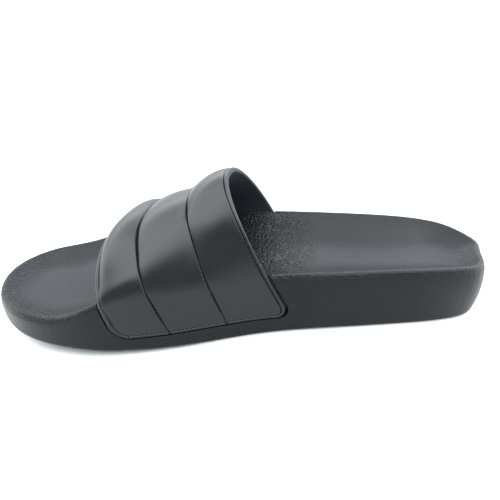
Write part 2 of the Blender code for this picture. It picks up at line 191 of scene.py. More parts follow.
@dataclass
class SoleForm:
    """The sizes and surfaces of the sole, which the band's plates lie against too."""

    length: float = 275.5 * MM
    ball_width: float = 102.4 * MM
    rim_height: float = 34.5 * MM
    wall_bulge: float = 1.0 * MM
    rim_land: float = 1.2 * MM
    # Down from the rim's top and in from its line, in millimetres.
    rim_profile: tuple[tuple[float, float], ...] = (
        *((3.20, 0.00), (2.75, 0.04), (2.40, 0.13), (2.10, 0.24), (1.85, 0.34), (1.66, 0.44)),
        *((1.60, 0.40), (1.56, 0.28), (1.52, 0.24), (1.30, 0.32), (0.90, 0.48), (0.60, 0.62)),
        *((0.35, 0.79), (0.17, 0.98), (0.05, 1.22), (0.00, 1.52)),
    )
    side_edge_radius: float = 1.8 * MM
    heel_edge_radius: float = 3.0 * MM
    toe_edge_radius: float = 6.5 * MM
    most_edge_share: float = 0.6
    toe_edge_power: int = 4
    heel_edge_power: int = 6
    edge_steps: int = 9
    wall_steps: int = 12
    toe_spring: float = 6.6 * MM
    toe_spring_run: float = 125 * MM
    toe_spring_power: float = 1.25
    arch_lift: float = 0.4 * MM
    arch_start: float = 0.48
    arch_end: float = 0.745
    heel_bevel: float = 0.4 * MM
    heel_bevel_run: float = 18 * MM
    footbed_height: float = 22 * MM
    footbed_blend: float = 0.05
    cup_run: float = 25 * MM
    arch_cup_run: float = 6 * MM
    end_cup_cut: float = 8 * MM
    cup_power: float = 2.1
    cup_steps: int = 25
    arch_cup_angle: float = math.radians(75)
    arch_cup_power: int = 4
    end_cup_power: int = 5
    tread_steps: int = 8
    floor_steps: int = 18
    toe_gather: float = 0.72
    heel_gather: float = 0.62
    middle_shift: tuple[float, float] = (-0.94 * MM, -2.64 * MM)
    toe_tip: tuple[float, float] = (0.031, 0.570)
    heel_tip: tuple[float, float] = (0.050, 0.838)
    sections: tuple[Section, ...] = (
        Section(0.029, 0.230, 0.252, 0.568, 0.556),
        Section(0.082, 0.372, 0.308, 0.597, 0.605),
        Section(0.171, 0.457, 0.419, 0.646, 0.652),
        Section(0.219, 0.475, 0.472, 0.820, 0.783),
        Section(0.265, 0.474, 0.501, 0.957, 0.916),
        Section(0.360, 0.444, 0.524, 0.974, 0.980),
        Section(0.490, 0.377, 0.490, 0.974, 1.000),
        Section(0.618, 0.360, 0.442, 0.957, 1.012),
        Section(0.746, 0.352, 0.398, 0.945, 0.998),
        Section(0.892, 0.325, 0.358, 0.901, 0.931),
        Section(0.943, 0.256, 0.334, 0.864, 0.882),
        Section(0.976, 0.106, 0.272, 0.832, 0.858),
    )
    # Along the length from the toe, and the floor's height as a share of footbed_height.
    footbed_steps: tuple[tuple[float, float], ...] = (
        *((0.00, 0.66), (0.12, 0.67), (0.27, 0.82), (0.42, 0.98)),
        *((0.60, 1.10), (0.75, 1.02), (0.90, 0.98), (1.00, 1.00)),
    )
    footbed_samples: int = 15
    rim_across: ClosedCurve = field(init=False)
    rim_top: ClosedCurve = field(init=False)

    def __post_init__(self) -> None:
        """Builds the two curves round the rim."""
        angles = [math.acos(2 * section.along - 1) for section in self.sections]
        knots = [0.0] + angles[::-1] + [math.pi] + [TURN - angle for angle in angles]
        width, height = self.ball_width, self.rim_height
        inner = [-s.inner * width for s in self.sections][::-1]
        outer = [s.outer * width for s in self.sections]
        across = [self.heel_tip[0] * width, *inner, self.toe_tip[0] * width, *outer]
        self.rim_across = ClosedCurve(knots, across)
        inner = [s.inner_rim * height for s in self.sections][::-1]
        outer = [s.outer_rim * height for s in self.sections]
        tops = [self.heel_tip[1] * height, *inner, self.toe_tip[1] * height, *outer]
        self.rim_top = ClosedCurve(knots, tops)

    @property
    def half_length(self) -> float:
        """Half the length of the rim's own line."""
        return self.length / 2 - self.wall_bulge

    def station(self, share: float) -> float:
        """X of a share of the length, counted from the toe."""
        return (share - 0.5) * self.length

    def side_angle(self, x: np.ndarray, side: Side) -> np.ndarray:
        """Angle round the outline at x, on one side."""
        angle = np.arccos(np.clip(x / self.half_length, -1, 1))
        return angle if side is Side.INNER else TURN - angle

    def lift(self, x: np.ndarray) -> np.ndarray:
        """Height of the underside over the ground: toe spring, arch and the heel's bevel."""
        toe = np.clip((self.toe_spring_run - self.length / 2 - x) / self.toe_spring_run, 0, 1)
        span = (self.arch_end - self.arch_start) * self.length
        arch = np.clip((x - self.station(self.arch_start)) / span, 0, 1)
        heel = np.clip((x - self.length / 2 + self.heel_bevel_run) / self.heel_bevel_run, 0, 1)
        rise = self.arch_lift * np.sin(np.pi * arch) ** 2
        return self.toe_spring * toe**self.toe_spring_power + rise + self.heel_bevel * heel**2

    def footbed(self, x: np.ndarray) -> np.ndarray:
        """Height of the footbed's floor."""
        steps = [self.station(along) for along, _ in self.footbed_steps]
        heights = [height * self.footbed_height for _, height in self.footbed_steps]
        nearby = np.linspace(-self.footbed_blend, self.footbed_blend, self.footbed_samples) * self.length
        return np.mean([np.interp(x + away, steps, heights) for away in nearby], axis=0)

    def bulge(self, x: np.ndarray, z: np.ndarray, rim: np.ndarray) -> np.ndarray:
        """How far the wall stands out from the rim's line at height z: most at the heel."""
        share = np.clip((z - self.lift(x)) / (rim - self.lift(x)), 0, 1)
        return self.wall_bulge * (1 + x / self.half_length) * 4 * share * (1 - share)

    def wall_across(self, x: np.ndarray, z: np.ndarray, side: Side) -> np.ndarray:
        """Distance of the wall from the long axis."""
        angle = self.side_angle(x, side)
        return side.value * self.rim_across(angle) + self.bulge(x, z, self.rim_top(angle))

    def outline(self, count: int) -> tuple[np.ndarray, np.ndarray, np.ndarray]:
        """The rim's line once round.

        Args:
            count: how many points.

        Returns:
            The angles, the points and the outward directions.
        """
        angles = TURN * np.arange(count) / count
        points = np.stack([self.half_length * np.cos(angles), self.rim_across(angles)], axis=1)
        run = np.roll(points, -1, axis=0) - np.roll(points, 1, axis=0)
        outward = np.stack([-run[:, 1], run[:, 0]], axis=1)
        outward /= np.linalg.norm(outward, axis=1)[:, None]
        outward *= np.sign(np.sum(outward * points))
        return angles, points, outward

    def rings(self, count: int) -> list[np.ndarray]:
        """The sole's rings, from the middle of the tread round to the middle of the footbed.

        Args:
            count: how many points each ring has.

        Returns:
            The rings. The first and the last lie folded flat on the sole's middle line.
        """
        angles, points, outward = self.outline(count)
        rim = self.rim_top(angles)
        toe = np.clip(-np.cos(angles), 0, 1) ** self.toe_edge_power
        heel = np.clip(np.cos(angles), 0, 1) ** self.heel_edge_power
        radius = self.side_edge_radius + (self.toe_edge_radius - self.side_edge_radius) * toe
        radius = radius + (self.heel_edge_radius - self.side_edge_radius) * heel
        radius = np.minimum(radius, self.most_edge_share * (rim - self.lift(points[:, 0])))
        rings: list[np.ndarray] = []

        def ring(inset: np.ndarray, height: np.ndarray, wall: bool = True) -> np.ndarray:
            """One ring at an inset from the rim's line and a height."""
            flat = points - outward * np.reshape(inset * np.ones(count), (-1, 1))
            if wall:
                flat = flat + outward * self.bulge(points[:, 0], height, rim)[:, None]
            return np.column_stack([flat, height * np.ones(count)])

        for turn in np.radians(np.linspace(0, 90, self.edge_steps)):
            inset = radius * (1 - np.sin(turn))
            flat_x = (points - outward * inset[:, None])[:, 0]
            rings.append(ring(inset, self.lift(flat_x) + radius * (1 - np.cos(turn))))
        base = self.lift(points[:, 0]) + radius
        for share in np.linspace(0, 1, self.wall_steps)[1:-1]:
            rings.append(ring(0.0, base + share * (rim - self.rim_profile[0][0] * MM - base)))
        for below, inset in self.rim_profile:
            rings.append(ring(inset * MM, rim - below * MM))
        for share in (0.5, 1.0):
            rings.append(ring(self.rim_profile[-1][1] * MM + share * self.rim_land, rim, wall=False))
        arch = np.clip(np.cos(angles - self.arch_cup_angle), 0, 1) ** self.arch_cup_power
        ends = np.abs(np.cos(angles)) ** self.end_cup_power
        run = self.cup_run + self.arch_cup_run * arch - self.end_cup_cut * ends
        start = rings[-1][:, :2]
        way = self.middle_line(start) - start
        way /= np.linalg.norm(way, axis=1)[:, None]
        for share in np.linspace(0, 1, self.cup_steps)[1:]:
            flat = start + way * (run * share)[:, None]
            floor = self.footbed(flat[:, 0])
            rings.append(np.column_stack([flat, floor + (rim - floor) * (1 - share) ** self.cup_power]))
        tread = self.gathered(rings[0], self.lift, self.tread_steps)
        floor = self.gathered(rings[-1], self.footbed, self.floor_steps)
        return tread[::-1] + rings + floor

    def middle_line(self, ring: np.ndarray) -> np.ndarray:
        """The point on a ring's long middle line that each of its points is drawn in to.

        Args:
            ring: points round a flat form.

        Returns:
            One point for each.
        """
        count = len(ring)
        mirror = (count - np.arange(count)) % count
        middle = (ring[:, :2] + ring[mirror, :2]) / 2
        low, high = ring[:, 0].min(), ring[:, 0].max()
        reach = 0.5 * (ring[:, 1].max() - ring[:, 1].min())
        middle[:, 0] = np.clip(middle[:, 0], low + self.toe_gather * reach, high - self.heel_gather * reach)
        order = np.argsort(middle[:, 0], kind="stable")
        middle[:, 1] = np.interp(middle[:, 0], middle[order, 0], middle[order, 1])
        return middle

    def gathered(self, ring: np.ndarray, height: Callable, steps: int) -> list[np.ndarray]:
        """Rings that draw a flat form in to its middle line.

        Args:
            ring: the ring that they start inside.
            height: the surface's height at x.
            steps: how many rings.

        Returns:
            The rings, the last one folded flat on the middle line.
        """
        middle = self.middle_line(ring)
        made = []
        for share in np.linspace(0, 1, steps + 1)[1:]:
            flat = ring[:, :2] * (1 - share) + middle * share
            made.append(np.column_stack([flat, height(flat[:, 0])]))
        return made


@dataclass(frozen=True)
class BandLine:
    """One edge or seam of the band, as shares of the sole's length and of the band's rise."""

    foot: float
    lean: float
    slant: float
    crest: float
    across: float
    padding_end: float


@dataclass(frozen=True)
class FoldPoint:
    """One point of the fold where the padding ends over the side plate.

    It lies at a column, an angle up the arch in degrees, and swells by rise within reach.
    """

    column: float
    angle: float
    rise: float
    reach: float


@dataclass(frozen=True)
class Row:
    """One line over the band, from its front edge to its rear edge."""

    zone: Zone
    side: Side
    place: float


@dataclass
class BandForm:
    """The sizes and surfaces of the band."""

    sole: SoleForm
    rise: float = 41 * MM
    thickness: float = 2.6 * MM
    proud: float = 0.4 * MM
    foot: float = 10.3 * MM
    corner: float = 8.0 * MM
    lip: float = 1.0 * MM
    bend_below_rim: float = 2.0 * MM
    puff_rise: float = 3.2 * MM
    hem: float = 2.7 * MM
    foot_hem: float = 1.4 * MM
    hem_rise: float = 0.22 * MM
    hem_depth: float = 0.45 * MM
    seat_gap: float = 0.3 * MM
    pocket_front: float = 0.6 * MM
    pocket_rear: float = 1.5 * MM
    pocket_below: float = 0.7 * MM
    side_power: float = 2.18
    top_power: float = 1.42
    puff_shares: tuple[float, ...] = (1.25, 0.70, 1.00)
    puff_fullness: float = 0.61
    padding_start: float = 8
    padding_run: float = 53
    padding_left: float = 0.06
    fold: tuple[FoldPoint, ...] = (
        FoldPoint(0.00, 12.0, 1.3 * MM, 5.0 * MM),
        FoldPoint(0.50, 20.5, 1.4 * MM, 5.0 * MM),
        FoldPoint(0.90, 28.0, 1.5 * MM, 5.0 * MM),
        FoldPoint(1.10, 36.0, 1.4 * MM, 5.0 * MM),
        FoldPoint(1.50, 45.5, 1.8 * MM, 6.2 * MM),
        FoldPoint(1.75, 52.5, 2.0 * MM, 6.8 * MM),
        FoldPoint(1.92, 59.0, 2.1 * MM, 7.0 * MM),
        FoldPoint(2.10, 54.0, 1.8 * MM, 6.4 * MM),
        FoldPoint(2.50, 51.5, 1.7 * MM, 6.2 * MM),
        FoldPoint(2.75, 53.0, 1.8 * MM, 6.4 * MM),
        FoldPoint(3.00, 63.0, 1.8 * MM, 6.8 * MM),
    )
    fold_start: float = 3.5 * MM
    fold_trail: float = 1.8
    seam_depth: float = 0.6 * MM
    seam_width: float = 0.4 * MM
    hem_run: float = 0.8 * MM
    settling: int = 12
    corner_steps: int = 16
    foot_steps: int = 60
    lines: tuple[BandLine, ...] = (
        BandLine(0.284, 0.243, 0.133, 0.337, -0.130, 17),
        BandLine(0.373, 0.350, 0.104, 0.530, -0.105, 24),
        BandLine(0.463, 0.360, 0.060, 0.715, -0.080, 38),
        BandLine(0.602, 0.532, 0.180, 1.028, -0.080, 38),
    )

    @property
    def last(self) -> int:
        """Number of the rear edge."""
        return len(self.lines) - 1

    def along(self, column: np.ndarray, name: str) -> np.ndarray:
        """One of the lines' values at a column, 0 at the front edge and last at the rear."""
        return np.interp(column, range(self.last + 1), [getattr(line, name) for line in self.lines])

    def folded(self, column: float, name: str) -> float:
        """One of the fold's values at a column."""
        columns = [point.column for point in self.fold]
        return float(np.interp(column, columns, [getattr(point, name) for point in self.fold]))

    def panel_width(self, panel: int) -> float:
        """Width of one padded channel at the ground."""
        return (self.lines[panel + 1].foot - self.lines[panel].foot) * self.sole.length

    def surface(
        self,
        columns: Sequence[float],
        rows: Sequence[Row],
        front: float = 0.0,
        rear: float = 0.0,
        below: float = 0.0,
    ) -> np.ndarray:
        """The band's outer face without its padding.

        Args:
            columns: places across the band, 0 at the front edge and last at the rear.
            rows: lines over the band.
            front: how far the form is widened past the front edge.
            rear: how far it is widened past the rear edge.
            below: how far it is widened past the plates' feet.

        Returns:
            Points as an array of rows, columns and coordinates.
        """
        columns = np.asarray(columns, float)
        foot = self.along(columns, "foot") * self.sole.length - self.sole.length / 2
        lean = self.along(columns, "lean")
        slant = self.along(columns, "slant")
        crest = self.sole.rim_height + self.along(columns, "crest") * self.rise
        middle = self.along(columns, "across") * self.sole.ball_width
        at_front = np.clip(1 - columns, 0, 1)
        at_rear = np.clip(columns - self.last + 1, 0, 1)
        made = []
        for row in rows:
            x = foot.copy()
            setback = 0.0
            if row.zone is Zone.PLATE:
                corner = self.corner + below
                depth = corner - np.clip(row.place + below, 0, corner)
                setback = corner - np.sqrt(corner**2 - depth**2)
            shift = at_front * (setback - front) - at_rear * (setback - rear)
            for _ in range(self.settling):
                bend = self.sole.rim_top(self.sole.side_angle(x, row.side)) - self.bend_below_rim
                if row.zone is not Zone.ARCH:
                    top = self.foot + self.corner
                    z = np.full_like(x, self.foot + row.place)
                    if row.zone is Zone.SIDE:
                        z = top + row.place * (bend - top)
                    y = row.side.value * (self.sole.wall_across(x, z, row.side) + self.proud)
                else:
                    z = bend + (crest - bend) * np.sin(row.place) ** (2 / self.top_power)
                    out = self.sole.wall_across(x, bend, row.side) + self.proud
                    reach = out - row.side.value * middle
                    y = middle + row.side.value * reach * np.cos(row.place) ** (2 / self.side_power)
                x = foot - lean * z + slant * y + shift
            made.append(np.stack([x, y, z], axis=1))
        return np.array(made)

    def corner_setback(self, height: np.ndarray) -> np.ndarray:
        """How far the plate's rounded corner draws its edge in at a height over the foot."""
        depth = self.corner - np.clip(height, 0, self.corner)
        return self.corner - np.sqrt(self.corner**2 - depth**2)

    def hem_distances(self, columns: np.ndarray, row: Row) -> tuple[np.ndarray, np.ndarray]:
        """Distances of a row's points from the band's edge and from the stitch line along it.

        Args:
            columns: places across the band.
            row: the line over the band.

        Returns:
            The distance from the edge, and the distance inwards from the stitch line.
        """
        depth = self.corner - min(row.place, self.corner) if row.zone is Zone.PLATE else 0.0
        setback = float(self.corner_setback(np.float64(self.corner - depth)))
        reach = (self.corner - self.hem, self.corner - self.foot_hem)
        edges, stitches = [], []
        for panel, share in ((0, columns), (self.last - 1, self.last - columns)):
            share = np.clip(share, 0, 1)
            across = share * self.panel_width(panel) + (1 - share) * setback
            inside = np.clip(self.corner - across, 0, None)
            edges.append(self.corner - np.hypot(inside, depth))
            flat = np.hypot(inside / reach[0], depth / reach[1])
            scale = np.hypot(inside, depth) / np.maximum(flat, 1e-9)
            stitches.append((1 - flat) * np.where(flat > 1e-6, scale, self.corner))
        return np.minimum(*edges), np.minimum(*stitches)

    def foot_line(self, side: Side) -> list[tuple[float, Row]]:
        """The stitch line along one plate's foot and round its corners, from front to rear."""
        made: list[tuple[float, Row]] = []
        turns = np.linspace(0, math.pi / 2, self.corner_steps)
        across = self.corner - (self.corner - self.hem) * np.cos(turns)
        height = self.corner - (self.corner - self.foot_hem) * np.sin(turns)
        setback = self.corner_setback(height)
        front = (across - setback) / (self.panel_width(0) - setback)
        rear = self.last - (across - setback) / (self.panel_width(self.last - 1) - setback)
        made += [(c, Row(Zone.PLATE, side, z)) for c, z in zip(front, height)]
        between = np.linspace(front[-1], rear[-1], self.foot_steps)[1:-1]
        made += [(c, Row(Zone.PLATE, side, self.foot_hem)) for c in between]
        made += [(c, Row(Zone.PLATE, side, z)) for c, z in zip(rear[::-1], height[::-1])]
        return made

    def plate_rows(self, side: Side, steps: int) -> list[Row]:
        """Rows up one side plate, from its foot to where the arch starts."""
        places = list(self.lip * (1 - np.cos(np.linspace(0, math.pi / 2, steps // 2))))
        places += list(np.linspace(self.lip, self.corner, steps)[1:])
        rows = [Row(Zone.PLATE, side, place) for place in places]
        return rows + [Row(Zone.SIDE, side, share) for share in np.linspace(0, 1, steps)[1:-1]]


def outward_normals(surface: np.ndarray) -> np.ndarray:
    """Unit normals of a grid of points over the band, away from the foot."""
    along = np.gradient(surface, axis=0)
    across = np.gradient(surface, axis=1)
    normals = np.cross(across, along)
    return normals / np.linalg.norm(normals, axis=2)[:, :, None]


def deselect() -> None:
    """Leaves nothing selected."""
    bpy.ops.object.select_all(action="DESELECT")


def only(piece: bpy.types.Object) -> None:
    """Makes one object the selected and active one."""
    deselect()
    piece.select_set(True)
    bpy.context.view_layer.objects.active = piece


def number_points(piece: bpy.types.Object) -> None:
    """Numbers a mesh's points, so that extruded copies of them keep their numbers."""
    numbers = piece.data.attributes.new("number", "INT", "POINT")
    numbers.data.foreach_set("value", np.arange(len(piece.data.vertices), dtype=np.int32))


def place_selected(piece: bpy.types.Object, points: np.ndarray) -> None:
    """Moves each selected point, in edit mode, to the place that its number names.

    Args:
        piece: the object in edit mode.
        points: one place for each number.
    """
    form = bmesh.from_edit_mesh(piece.data)
    number = form.verts.layers.int["number"]
    for vertex in form.verts:
        if vertex.select:
            vertex.co = points[vertex[number]]
    bmesh.update_edit_mesh(piece.data)


def ring_loft(name: str, rings: Sequence[np.ndarray]) -> bpy.types.Object:
    """A closed body, extruded ring by ring from a circle.

    Args:
        name: the object's name.
        rings: rings of as many points; the first and last are folded flat and get merged shut.

    Returns:
        The object.
    """
    deselect()
    bpy.ops.mesh.primitive_circle_add(vertices=len(rings[0]), radius=0.05, fill_type="NOTHING")
    body = bpy.context.object
    body.name = body.data.name = name
    number_points(body)
    bpy.ops.object.mode_set(mode="EDIT")
    bpy.ops.mesh.select_mode(type="VERT")
    bpy.ops.mesh.select_all(action="SELECT")
    place_selected(body, rings[0])
    for ring in rings[1:]:
        bpy.ops.mesh.extrude_edges_move(TRANSFORM_OT_translate={"value": (0, 0, MM)})
        place_selected(body, ring)
    bpy.ops.mesh.select_all(action="SELECT")
    bpy.ops.mesh.remove_doubles(threshold=0.004 * MM)
    bpy.ops.mesh.select_all(action="SELECT")
    bpy.ops.mesh.normals_make_consistent(inside=False)
    bpy.ops.object.mode_set(mode="OBJECT")
    return body


def grid_shell(name: str, outer: np.ndarray, inner: np.ndarray) -> bpy.types.Object:
    """A closed shell, extruded inwards from a grid.

    Args:
        name: the object's name.
        outer: the outer face's points, by row and column.
        inner: the inner face's points, in the same order.

    Returns:
        The object, with the inner face selected.
    """
    rows, columns = outer.shape[:2]
    deselect()
    bpy.ops.mesh.primitive_grid_add(x_subdivisions=columns - 1, y_subdivisions=rows - 1, size=0.1)
    shell = bpy.context.object
    shell.name = shell.data.name = name
    number_points(shell)
    bpy.ops.object.mode_set(mode="EDIT")
    bpy.ops.mesh.select_mode(type="VERT")
    bpy.ops.mesh.select_all(action="SELECT")
    place_selected(shell, outer.reshape(-1, 3))
    bpy.ops.mesh.extrude_region_move(TRANSFORM_OT_translate={"value": (0, 0, -MM)})
    place_selected(shell, inner.reshape(-1, 3))
    bpy.ops.object.mode_set(mode="OBJECT")
    return shell


def face_out(piece: bpy.types.Object) -> None:
    """Turns every face of a closed mesh outwards."""
    only(piece)
    bpy.ops.object.mode_set(mode="EDIT")
    bpy.ops.mesh.select_all(action="SELECT")
    bpy.ops.mesh.normals_make_consistent(inside=False)
    bpy.ops.mesh.select_all(action="DESELECT")
    bpy.ops.object.mode_set(mode="OBJECT")


def shift_mesh(piece: bpy.types.Object, shift: Sequence[float]) -> None:
    """Moves a piece's mesh and leaves its object at the origin."""
    piece.data.transform(Matrix.Translation((shift[0], shift[1], 0)))


def cut(piece: bpy.types.Object, cutter: bpy.types.Object) -> None:
    """Cuts one closed body out of another and takes the cutter away.

    Args:
        piece: the body that is cut.
        cutter: what is taken out of it.
    """
    modifier = piece.modifiers.new(cutter.name, "BOOLEAN")
    modifier.operation = "DIFFERENCE"
    modifier.solver = "EXACT"
    modifier.object = cutter
    only(piece)
    bpy.ops.object.modifier_apply(modifier=modifier.name)
    bpy.data.objects.remove(cutter, do_unlink=True)


def smooth(piece: bpy.types.Object, degrees: float) -> None:
    """Shades a piece smooth, apart from edges sharper than an angle."""
    only(piece)
    bpy.ops.object.shade_smooth_by_angle(angle=math.radians(degrees))


def report(piece: bpy.types.Object) -> None:
    """Logs a piece's size and how many triangles it has."""
    piece.data.calc_loop_triangles()
    size = [round(1000 * edge, 1) for edge in piece.dimensions]
    LOG.info("%s: %s mm, %d triangles", piece.name, size, len(piece.data.loop_triangles))


@dataclass(frozen=True)
class Finish:
    """What every finish shares. Each gives its material's name and its shader's inputs."""

    name: ClassVar[str] = ""

    def material(self) -> bpy.types.Material:
        """Builds the node material."""
        made = bpy.data.materials.new(self.name)
        made.use_nodes = True
        tree = made.node_tree
        shader = tree.nodes["Principled BSDF"]
        place = add_node(tree, "ShaderNodeTexCoord", None, "Object")
        for name, value in self.inputs(tree, place).items():
            feed(tree, shader.inputs[name], value)
        return made

    def inputs(self, tree: bpy.types.NodeTree, place: bpy.types.NodeSocket) -> dict:
        """Makes what goes into the shader.

        Args:
            tree: the material's node tree.
            place: the Object coordinates.

        Returns:
            Input name to a constant or to the output socket that feeds it.
        """
        raise NotImplementedError


@dataclass(frozen=True)
class MouldedFoam(Finish):
    """Injection-moulded EVA foam in black, with a leather-like pebble from the mould.

    The pebble is etched into the mould, so it breaks the slopes' highlights into small glints. The
    footbed's middle is nearly smooth, and its satin skin gives broad, soft reflections.
    """

    name: ClassVar[str] = "black_moulded_eva_foam"
    colour: str = "#0e1112"
    worn: str = "#121517"
    roughness: float = 0.42
    duller: float = 0.07
    shinier: float = 0.05
    grain_shine: float = 0.2
    # EVA has about 1.48. It is lowered to match how little the footbed mirrors.
    ior: float = 1.27
    # Such a pebble is taken as 1 mm across, under two pixels. It is drawn at 2 mm, to show.
    grain: float = 2.0 * MM
    grain_depth: float = 0.6 * MM
    grain_stretch: tuple[float, float, float] = (0.8, 1.0, 1.0)
    crease_share: float = 0.3
    warp: float = 2.5 * MM
    warp_density: float = 0.35
    fine_density: float = 1.6
    fine_share: float = 0.5
    clouds_per_metre: float = 28.0

    def inputs(self, tree: bpy.types.NodeTree, place: bpy.types.NodeSocket) -> dict:
        """A pebble as deep as the grain attribute says, over a skin with a faint cloud in it."""
        amount = add_node(tree, "ShaderNodeAttribute", None, "Fac", attribute_name="grain")
        noise = {"Vector": place, "Scale": self.warp_density / self.grain, "Detail": 2.0}
        warp = add_node(tree, "ShaderNodeTexNoise", noise, "Color")
        shares = {"Factor": self.warp, "A": place, "B": warp}
        bent = add_node(tree, "ShaderNodeMix", shares, "Result", data_type="VECTOR")
        factors = {0: bent, 1: self.grain_stretch}
        drawn = add_node(tree, "ShaderNodeVectorMath", factors, "Vector", operation="MULTIPLY")
        cells = {"Vector": drawn, "Scale": 1 / self.grain}
        creases = add_node(
            tree, "ShaderNodeTexVoronoi", cells, "Distance", feature="DISTANCE_TO_EDGE"
        )
        span = {"Value": creases, "From Max": self.crease_share}
        pebble = add_node(
            tree, "ShaderNodeMapRange", span, "Result", interpolation_type="SMOOTHSTEP"
        )
        noise = {"Vector": place, "Scale": self.fine_density / self.grain, "Detail": 3.0}
        fine = add_node(tree, "ShaderNodeTexNoise", noise, "Fac")
        sums = {0: fine, 1: self.fine_share, 2: pebble}
        both = add_node(tree, "ShaderNodeMath", sums, "Value", operation="MULTIPLY_ADD")
        height = add_node(tree, "ShaderNodeMath", {0: both, 1: amount}, "Value", operation="MULTIPLY")
        relief = {"Height": height, "Strength": 1.0, "Distance": self.grain_depth}
        noise = {"Vector": place, "Scale": self.clouds_per_metre, "Detail": 8.0}
        cloud = add_node(tree, "ShaderNodeTexNoise", noise, "Fac")
        shades = {"Factor": cloud, "A": linear(self.colour), "B": linear(self.worn)}
        least, most = self.roughness - self.shinier, self.roughness + self.duller
        span = {"Value": cloud, "To Min": least, "To Max": most}
        rough = add_node(tree, "ShaderNodeMapRange", span, "Result")
        sums = {0: amount, 1: -self.grain_shine, 2: rough}
        return {
            "Base Color": add_node(tree, "ShaderNodeMix", shades, "Result", data_type="RGBA"),
            "Roughness": add_node(tree, "ShaderNodeMath", sums, "Value", operation="MULTIPLY_ADD"),
            "Normal": add_node(tree, "ShaderNodeBump", relief, "Normal"),
            "IOR": self.ior,
        }


@dataclass(frozen=True)
class CoatedLeather(Finish):
    """Split leather with a black polyurethane coat, pressed flat and sprayed satin.

    The coat is smooth and even, so the puffs carry long soft highlights with faint waves in them.
    """

    name: ClassVar[str] = "black_pu_coated_leather"
    colour: str = "#090b0c"
    worn: str = "#0c0e0f"
    roughness: float = 0.345
    duller: float = 0.05
    shinier: float = 0.03
    # Polyurethane has about 1.5. It is lowered to match the photograph.
    ior: float = 1.42
    # A coat's pores are taken as 0.2 mm apart. They are drawn coarser, so that a trace shows.
    pore: float = 0.8 * MM
    pore_depth: float = 0.06 * MM
    pore_strength: float = 0.12
    waves_per_metre: float = 60.0
    wave_depth: float = 0.3 * MM
    wave_strength: float = 0.25

    def inputs(self, tree: bpy.types.NodeTree, place: bpy.types.NodeSocket) -> dict:
        """Fine pores over slow waves in the coat."""
        noise = {"Vector": place, "Scale": 1 / self.pore, "Detail": 3.0}
        pores = add_node(tree, "ShaderNodeTexNoise", noise, "Fac")
        noise = {"Vector": place, "Scale": self.waves_per_metre, "Detail": 1.0}
        waves = add_node(tree, "ShaderNodeTexNoise", noise, "Fac")
        relief = {"Height": waves, "Strength": self.wave_strength, "Distance": self.wave_depth}
        coarse = add_node(tree, "ShaderNodeBump", relief, "Normal")
        relief = {"Height": pores, "Strength": self.pore_strength, "Distance": self.pore_depth}
        relief["Normal"] = coarse
        least, most = self.roughness - self.shinier, self.roughness + self.duller
        span = {"Value": waves, "To Min": least, "To Max": most}
        shades = {"Factor": pores, "A": linear(self.colour), "B": linear(self.worn)}
        return {
            "Base Color": add_node(tree, "ShaderNodeMix", shades, "Result", data_type="RGBA"),
            "Roughness": add_node(tree, "ShaderNodeMapRange", span, "Result"),
            "Normal": add_node(tree, "ShaderNodeBump", relief, "Normal"),
            "IOR": self.ior,
        }


@dataclass(frozen=True)
class KnitLining(Finish):
    """Thin black polyester lining, knitted and brushed on its face.

    Its raised fibres scatter the light, so it shows no highlight and stays dark inside the band.
    """

    name: ClassVar[str] = "black_polyester_lining"
    colour: str = "#2b3036"
    between: str = "#22262c"
    roughness: float = 0.85
    # The knit's loops are taken as 0.5 mm apart and drawn so. They hardly show from the camera.
    thread: float = 0.5 * MM
    thread_depth: float = 0.1 * MM
    thread_strength: float = 0.4

    def inputs(self, tree: bpy.types.NodeTree, place: bpy.types.NodeSocket) -> dict:
        """A knit of small cells."""
        cells = {"Vector": place, "Scale": 1 / self.thread}
        knit = add_node(tree, "ShaderNodeTexVoronoi", cells, "Distance")
        relief = {"Height": knit, "Strength": self.thread_strength, "Distance": self.thread_depth}
        shades = {"Factor": knit, "A": linear(self.colour), "B": linear(self.between)}
        return {
            "Base Color": add_node(tree, "ShaderNodeMix", shades, "Result", data_type="RGBA"),
            "Normal": add_node(tree, "ShaderNodeBump", relief, "Normal"),
            "Roughness": self.roughness,
        }


@dataclass(frozen=True)
class SewingThread(Finish):
    """Bonded polyester thread in black, three plies twisted and coated.

    The twist scatters what little it mirrors, so a stitch is a little darker than the leather.
    """

    name: ClassVar[str] = "black_bonded_thread"
    colour: str = "#060708"
    raised: str = "#0d0e10"
    roughness: float = 0.75
    mirror_level: float = 0.12
    # One ply's turn, taken for thread of about 0.5 mm. It is too fine to show from the camera.
    twist: float = 0.35 * MM
    twist_density: float = 0.3
    twist_depth: float = 0.05 * MM
    twist_strength: float = 0.5

    def inputs(self, tree: bpy.types.NodeTree, place: bpy.types.NodeSocket) -> dict:
        """Slanted bands for the plies."""
        bands = {"Vector": place, "Scale": self.twist_density / self.twist, "Distortion": 1.0}
        plies = add_node(tree, "ShaderNodeTexWave", bands, "Fac", bands_direction="DIAGONAL")
        relief = {"Height": plies, "Strength": self.twist_strength, "Distance": self.twist_depth}
        shades = {"Factor": plies, "A": linear(self.colour), "B": linear(self.raised)}
        return {
            "Base Color": add_node(tree, "ShaderNodeMix", shades, "Result", data_type="RGBA"),
            "Normal": add_node(tree, "ShaderNodeBump", relief, "Normal"),
            "Roughness": self.roughness,
            "Specular IOR Level": self.mirror_level,
        }


